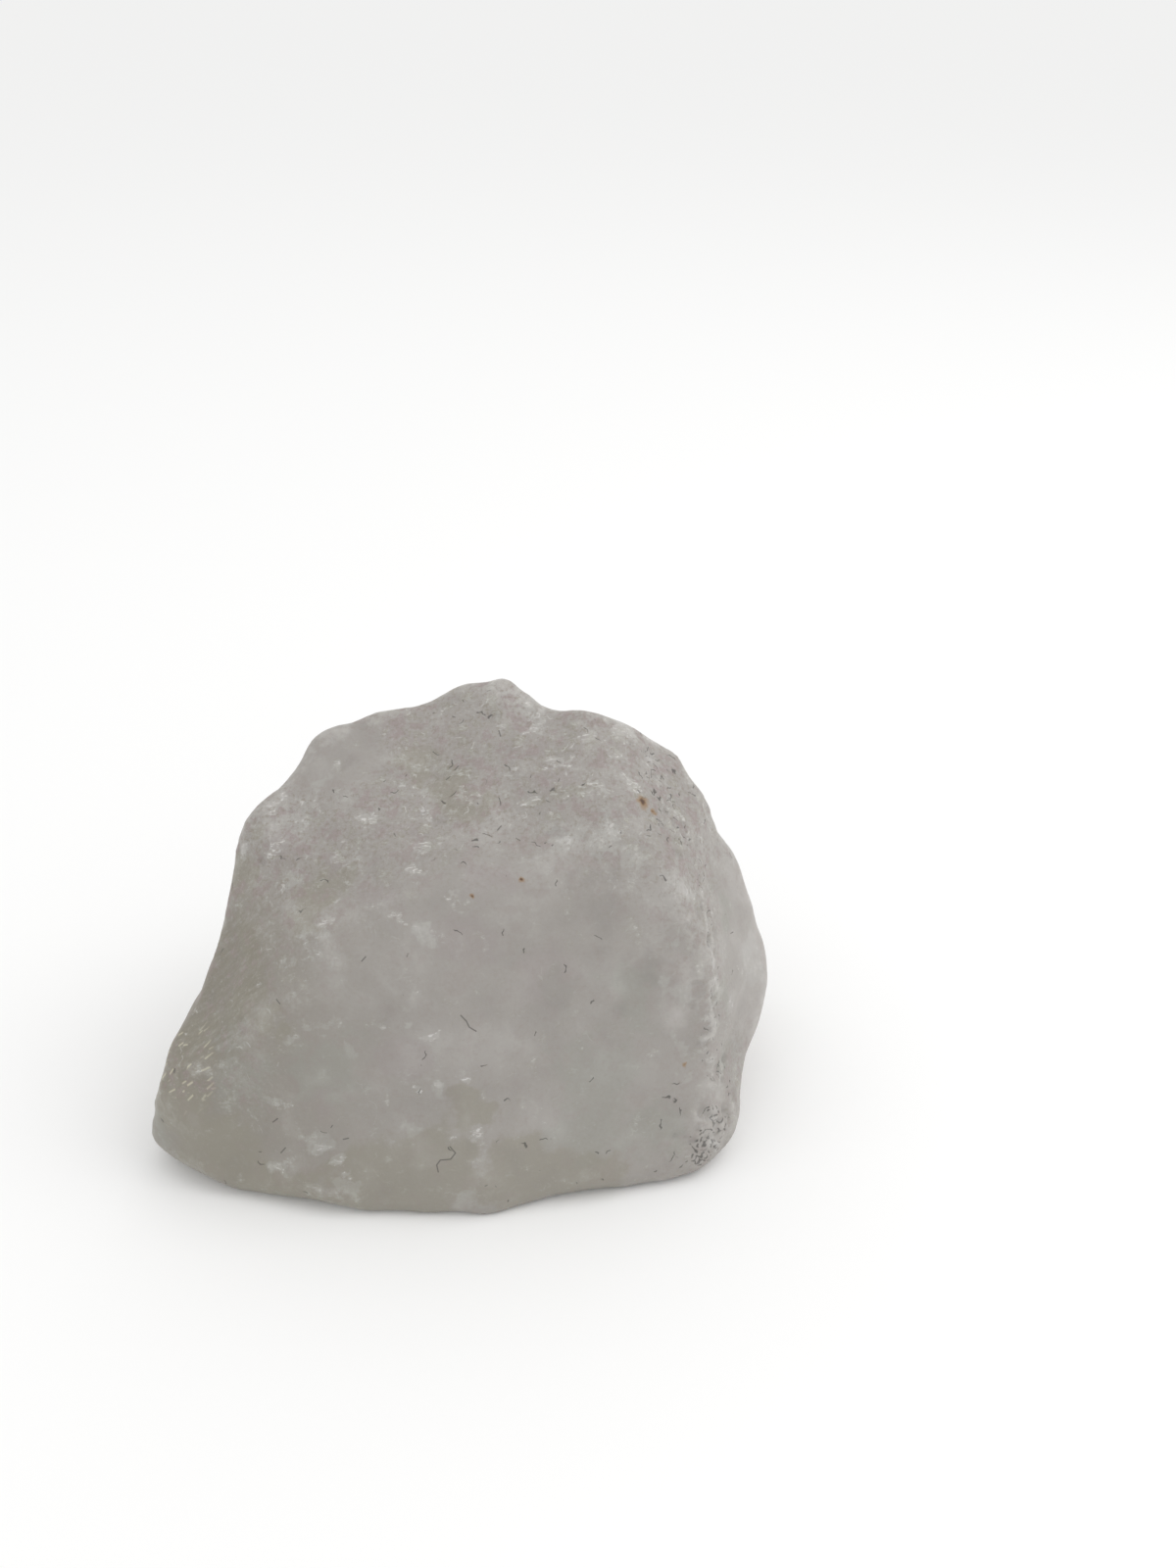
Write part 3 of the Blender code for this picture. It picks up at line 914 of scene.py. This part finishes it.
def use_group(name, **sockets):
    """Places a node group in the finish; an underscore in a name stands for a space."""
    node = graph.add("ShaderNodeGroup", {}, node_tree=bpy.data.node_groups[name])
    for label, value in sockets.items():
        socket = node.inputs[label.replace("_", " ")]
        if isinstance(value, bpy.types.NodeSocket):
            graph.tree.links.new(value, socket)
        else:
            socket.default_value = value
    return node.outputs


def either(*masks):
    """Where any of the masks is on."""
    made = masks[0]
    for mask in masks[1:]:
        made = graph.maths("MAXIMUM", made, mask)
    return made


def drawn_out(way, times):
    """The place squeezed along one way, so that a pattern on it is drawn out that way."""
    along = graph.measure("DOT_PRODUCT", place, way)
    squeeze = graph.maths("MULTIPLY", along, 1.0 / times - 1.0)
    return graph.vector("ADD", place, graph.scaled(way, squeeze))


thread = graph.lumps(drawn_out(THREAD_WAY, THREAD_DRAWN), THREAD_SIZE, bend=1.0)
frosted = ragged(kept("frost"), FROST_TEAR, FROST_EDGE)
loose = both(graph.step(torn, *LOOSE_THREADS), hackly, uncombed, LOOSE_SHARE)
threads = both(graph.step(thread, *THREAD_CREST), either(frosted, loose))
colour = lay(frosted, FROST_STRENGTH, MILK)
colour = lay(threads, THREAD_STRENGTH, MILK)

streak = graph.lumps(drawn_out(STREAK_WAY, STREAK_DRAWN), STREAK_SIZE, roughness=0.60)
colour = lay_band(DARK_STREAKS, streak, combed)
colour = lay_band(LIGHT_STREAKS, streak, combed)

on_slope = use_group(
    "soft patch",
    Place=place, Centre=SPARKLE_PLACE, Reach=SPARKLE_REACH, Feather=0.3
)
sparkles = use_group(
    "scattered marks",
    Place=place, Spacing=0.80, Length=1.20, Width=0.10, Share=0.5, Lean=SPARKLE_LEAN, Bend=0.0
)
# Painted highlights: straw-coloured sparkles laid into the colour on the slope.
colour = lay(both(sparkles["Mask"], on_slope["Mask"]), SPARKLE_STRENGTH, STRAW_HIGHLIGHT)
print("frost, streaks and sparkles laid")

# %% [markdown]
# ## The quartz finish: nicks and rust
#
# These are the marks that an eye finds first. The nicks are dark because the
# rim of a chip holds a shadow: they are painted shadow. They are few on the
# front, more near the top and low on the right, and crowded along the ridge
# and at the corner, where the cells that hold them are about half the size.
# Glints, which are painted highlights, lie between them.
# A few long nicks, two hair cracks and some pores of rust are put where the
# stone has them.

# %% Lay the nicks and the rust
SPACING, CROWDED_SPACING, CROWDED = 0.90, 0.48, 0.28
NICK_WIDTH, TANGLE_WIDTH, TANGLE = 0.06, 0.11, 0.70
NICK_LENGTH, NICK_STRENGTH, GLINT_SHARE = 0.84, 0.77, 0.30
CROOK_SIZE, CROOK = 0.6, 0.6
GLINTS = (0.44, 0.56, 0.50, MILK)
HAIR_CRACKS = (
    (
        (-2.5, -19.3, 4.5), (-2.6, -19.2, 5.1), (-2.3, -19.1, 5.5),
        (-1.5, -19.2, 5.6), (-1.1, -19.1, 6.1), (-1.5, -18.9, 6.6),
    ),
    ((-0.2, -15.8, 16.9), (0.2, -15.9, 16.4), (0.4, -16.0, 15.9), (0.9, -16.0, 15.5)),
)
LONG_NICKS = (
    ((-7.5, -14.2, 21.3), (-7.2, -14.1, 21.6)),
    ((-14.3, -13.9, 17.9), (-14.0, -14.2, 17.7)),
    ((-14.9, -16.7, 5.0), (-14.5, -16.7, 5.5)),
    ((-15.3, -16.1, 7.7), (-14.9, -16.2, 8.1)),
    ((-9.8, -17.7, 6.9), (-9.4, -17.7, 7.0)),
    ((0.0, -2.3, 31.1), (0.3, -2.1, 31.3)),
    ((-0.7, -2.9, 30.6), (-0.4, -2.7, 30.7)),
    ((3.2, -7.9, 28.6), (3.5, -7.6, 28.8)),
    ((3.7, -0.1, 33.3), (3.8, -0.6, 33.1)),
)
CRACK_WIDTH = 0.09
RUST_SPOTS = (
    ((14.7, -6.1, 29.5), 0.50),
    ((15.6, -6.4, 28.7), 0.26),
    ((4.9, -11.6, 26.3), 0.28),
    ((1.1, -12.2, 25.4), 0.15),
    ((17.4, -15.1, 10.3), 0.24),
)
RUST_RINGS = ((1.0, RUST, 0.75), (0.5, DARK_RUST, 0.85))


def bent_place(size, amount):
    """The place pushed about by a cloudy vector."""
    puff = graph.add("ShaderNodeTexNoise", {"Vector": place, "Scale": 1.0 / size, "Detail": 1.0})
    shift = graph.vector("SUBTRACT", puff.outputs["Color"], MIDDLE)
    return graph.vector("ADD", place, graph.scaled(shift, amount))


def on_skin(point):
    """That point moved in or out until it lies on the skin."""
    nearest = np.linalg.norm(places - np.array(point), axis=1).argmin()
    lift = (places[nearest] - np.array(point)) @ normals[nearest]
    return tuple(np.array(point) + lift * normals[nearest])


def vein(first, last):
    """A mask of one straight run of a crack, laid on the skin."""
    run = use_group("vein", Place=place, From=on_skin(first), To=on_skin(last), Width=CRACK_WIDTH)
    return run["Mask"]


knocks = kept("knocks")
crooked = bent_place(CROOK_SIZE, CROOK)
crowd = graph.maths("GREATER_THAN", knocks, CROWDED)
tangle = graph.maths("GREATER_THAN", knocks, TANGLE)
spacing = graph.maths("MULTIPLY_ADD", crowd, CROWDED_SPACING - SPACING, SPACING)
width = graph.maths("MULTIPLY_ADD", tangle, TANGLE_WIDTH - NICK_WIDTH, NICK_WIDTH)
marks = use_group(
    "scattered marks",
    Place=crooked, Spacing=spacing, Length=NICK_LENGTH, Width=width,
    Share=knocks, Glint_Share=GLINT_SHARE
)
# The glints are painted highlights: white flecks laid into the colour.
colour = lay_band(GLINTS, torn, marks["Glints"], hackly)
runs = [vein(*ends) for line in (*HAIR_CRACKS, *LONG_NICKS) for ends in zip(line[:-1], line[1:])]
# The nicks and long nicks are painted shadow of chip rims; the hair cracks are dark lines of the
# stone.
colour = lay(either(marks["Mask"], *runs), NICK_STRENGTH, SHADOW_AND_CRACK_DARK)

for centre, radius in RUST_SPOTS:
    for share, paint, strength in RUST_RINGS:
        reach = (share * radius,) * 3
        spot = use_group("soft patch", Place=crooked, Centre=centre, Reach=reach, Feather=0.5)
        colour = lay(spot["Mask"], strength, paint)
print(len(HAIR_CRACKS), "cracks and", len(LONG_NICKS), "long nicks laid")
print(len(RUST_SPOTS), "rust spots laid")

# %% [markdown]
# ## The quartz finish: wear
#
# The last layers are what handling left, and a darkening of the hollows.
# Proud ridges are scuffed a little white, and so is the bruised ridge at the
# right, while hollows are laid a little darker. The scuffs and the bruises are
# torn as well, because only the high grains took the wear.

# %% Lay the wear
SCUFFS, SCUFF_TEAR = (0.60, 0.95, 0.22, MILK), (0.42, 0.60)
BRUISES, BRUISE_TEAR = (0.45, 1.0, 0.18, MILK), (0.48, 0.56)
HOLLOW_DARKENING = (0.42, 0.10, 0.24, SMOKE)

worn, bruised = kept("ridge"), kept("bruised")
colour = lay_band(SCUFFS, worn, graph.step(torn, *SCUFF_TEAR), uncombed)
colour = lay_band(BRUISES, bruised, graph.step(torn, *BRUISE_TEAR))
# The hollows are laid a little darker.
colour = lay_band(HOLLOW_DARKENING, worn)
graph.tree.links.new(colour, shader.inputs["Base Color"])
print("scuffs, bruises and dust laid")

# %% [markdown]
# ## The quartz finish: lustre
#
# Quartz shines like glass where it is fresh and like wax where it is worn.
# This stone is worn, so it is mostly dull, a little glossier on the smooth
# front and along the threads. Fine relief under a tenth of a millimetre
# comes from bump. Light sinks a little into it, which is what subsurface
# scattering gives, and its index of refraction is that of quartz.

# %% Set the lustre and the fine relief
DULLNESS, HACKLY_DULLNESS, TORN_DULLNESS, THREAD_GLOSS = 0.40, 0.12, 0.18, -0.20
SPECKLE_RELIEF, STREAK_RELIEF = 0.075, 0.09
RELIEF_UNIT = 1.0 * MM
QUARTZ_IOR = 1.544
DEPTH_WEIGHT, DEPTH_REACH, DEPTH_COLOUR = 0.5, 1.2 * MM, (1.0, 0.93, 0.84)

dullness = graph.maths("MULTIPLY_ADD", hackly, HACKLY_DULLNESS, DULLNESS)
dullness = graph.maths("MULTIPLY_ADD", torn, TORN_DULLNESS, dullness)
dullness = graph.maths("MULTIPLY_ADD", threads, THREAD_GLOSS, dullness)
graph.tree.links.new(dullness, shader.inputs["Roughness"])

relief = graph.maths("MULTIPLY", both(speckle, hackly), SPECKLE_RELIEF)
relief = graph.maths("MULTIPLY_ADD", both(streak, combed), STREAK_RELIEF, relief)
bump = graph.add("ShaderNodeBump", {"Strength": 1.0, "Distance": RELIEF_UNIT, "Height": relief})
graph.tree.links.new(bump.outputs["Normal"], shader.inputs["Normal"])

shader.inputs["IOR"].default_value = QUARTZ_IOR
shader.inputs["Subsurface Weight"].default_value = DEPTH_WEIGHT
shader.inputs["Subsurface Radius"].default_value = DEPTH_COLOUR
shader.inputs["Subsurface Scale"].default_value = DEPTH_REACH
print("the finish has", len(quartz.node_tree.nodes), "nodes")

# %% [markdown]
# ## Finish the stone
#
# The finished skin gets its material, rides on the stone's body and stands
# for the imported solid, which stays for collision, hidden.

# %% Finish
stone.data.materials.clear()
stone.data.materials.append(quartz)
stone.data.shade_smooth()
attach(stone, "root")
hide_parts("quartz_crystal")
